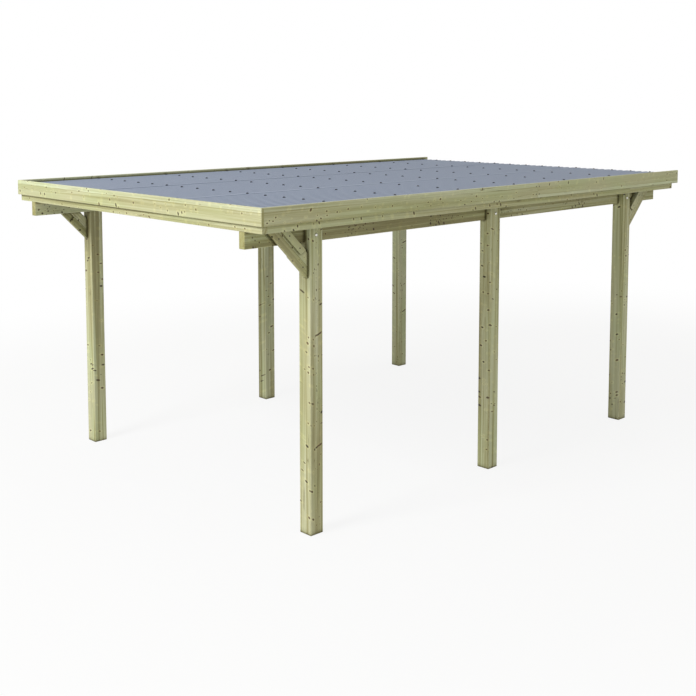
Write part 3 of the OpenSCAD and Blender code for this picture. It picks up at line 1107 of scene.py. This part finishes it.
def brace_screw_places(name, end, side):
    """Where the screws of one brace's two boards go; end is -1 at the front and 1 at the rear."""
    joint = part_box(f"brace_{name}_upper")[0].z
    places = []
    for board_name, distances in BRACE_SCREWS.items():
        low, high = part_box(f"brace_{name}_{board_name}")
        line = joint + BAND_MIDDLE if board_name == "upper" else (low.z + joint) / 2
        face = high.x if side > 0 else low.x
        post_face = high.y if end < 0 else low.y
        places += [(face, post_face + end * away, line + away) for away in distances]
    return places


for side, word in ((-1, "left"), (1, "right")):
    for end, row in ((-1, "front"), (1, "rear")):
        name = f"{row}_{word}"
        wood_screws("brace_screws_" + name, brace_screw_places(name, end, side), side)

# %% [markdown]
# ## Floor, background and light
#
# The carport stands in a plain pale studio. The floor is white and takes a soft shadow, and it fades
# into the white background so that no horizon shows. A Light Path node tells the camera's view and
# reflections from the light that bounces, so that what is seen can be plain white while the light
# on the object stays soft.

# %% Floor
FLOOR_SIZE, FLOOR_DROP = 60.0, 0.001
SHADOW_FROM, SHADOW_TO, SHADOW_SHARE = 3.4, 7.5, 0.13
SHADOW_OUTLINE = (1.0, 0.8, 0.0)
WHITE, FLOOR_GREY = (1.0, 1.0, 1.0, 1.0), (0.86, 0.86, 0.86, 1.0)


def seen_directly(tree):
    """1 for rays from the camera and for reflections, 0 for light that bounces."""
    rays = tree.nodes.new("ShaderNodeLightPath").outputs
    seen = sums(tree, "MAXIMUM", rays["Is Camera Ray"], rays["Is Glossy Ray"])
    return sums(tree, "MAXIMUM", seen, rays["Is Transmission Ray"])


def floor_finish():
    """White floor that keeps the shadow near the object and turns plain white further out."""
    material = bpy.data.materials.new("studio_floor")
    material.use_nodes = True
    tree = material.node_tree
    tree.nodes.clear()
    place = add_node(tree, "TexCoord", output=3)
    distance = add_node(tree, "VectorMath", {0: stretched(tree, place, SHADOW_OUTLINE)}, output=1,
                        operation="LENGTH")
    far = smooth_step(tree, distance, SHADOW_FROM, SHADOW_TO)
    share = sums(tree, "MULTIPLY_ADD", far, SHADOW_SHARE, 1.0 - SHADOW_SHARE)
    share = sums(tree, "MULTIPLY", share, seen_directly(tree))
    matt = add_node(tree, "BsdfDiffuse", {"Color": FLOOR_GREY})
    white = add_node(tree, "Emission", {"Color": WHITE, "Strength": 1.0})
    both = add_node(tree, "MixShader", {0: share, 1: matt, 2: white})
    plug(tree, both, tree.nodes.new("ShaderNodeOutputMaterial").inputs["Surface"])
    return material


shape = bmesh.new()
bmesh.ops.create_grid(shape, x_segments=1, y_segments=1, size=FLOOR_SIZE / 2)
floor_mesh = bpy.data.meshes.new("floor")
shape.to_mesh(floor_mesh)
shape.free()
floor = bpy.data.objects.new("floor", floor_mesh)
bpy.context.scene.collection.objects.link(floor)
floor.location.z = frame_low.z - FLOOR_DROP
floor.data.materials.append(floor_finish())
print("floor", FLOOR_SIZE, "m across")

# %% [markdown]
# The sky lights the object softly from all round, at half strength and a little warm. One large lamp
# high in front makes the front faces brighter than the right-hand ones.

# %% Sky
SKY_LIGHT = 0.51
SKY_TINT = (1.0, 0.99, 0.93, 1.0)
world = bpy.data.worlds.new("studio")
bpy.context.scene.world = world
world.use_nodes = True
sky = world.node_tree
sky.nodes.clear()
seen = seen_directly(sky)
strength = sums(sky, "MULTIPLY_ADD", seen, 1.0 - SKY_LIGHT, SKY_LIGHT)
sky_colour = blend_colour(sky, seen, SKY_TINT, WHITE)
backdrop = add_node(sky, "Background", {"Color": sky_colour, "Strength": strength})
plug(sky, backdrop, sky.nodes.new("ShaderNodeOutputWorld").inputs["Surface"])
print("sky light", SKY_LIGHT)

# %% Lamp
LAMP_PLACE, LAMP_AIM = Vector((0.0, -12.0, 9.5)), Vector((0.0, -1.5, 1.0))
LAMP_SIZE, LAMP_WATTS = 4.0, 1080.0
lamp = bpy.data.objects.new("key_lamp", bpy.data.lights.new("key_lamp", "AREA"))
bpy.context.scene.collection.objects.link(lamp)
lamp.data.shape = "SQUARE"
lamp.data.size = LAMP_SIZE
lamp.data.energy = LAMP_WATTS
lamp.location = LAMP_PLACE
lamp.rotation_euler = (LAMP_AIM - LAMP_PLACE).to_track_quat("-Z", "Y").to_euler()
lamp.visible_camera = False
lamp.visible_glossy = False
print("lamp", lamp.data.energy, "W")

# %% [markdown]
# ## Picture settings
#
# The Standard view shows colours as they are written, which suits a catalogue picture.

# %% Picture settings
scene = bpy.context.scene
scene.view_settings.view_transform = "Standard"
print("view", scene.view_settings.view_transform)
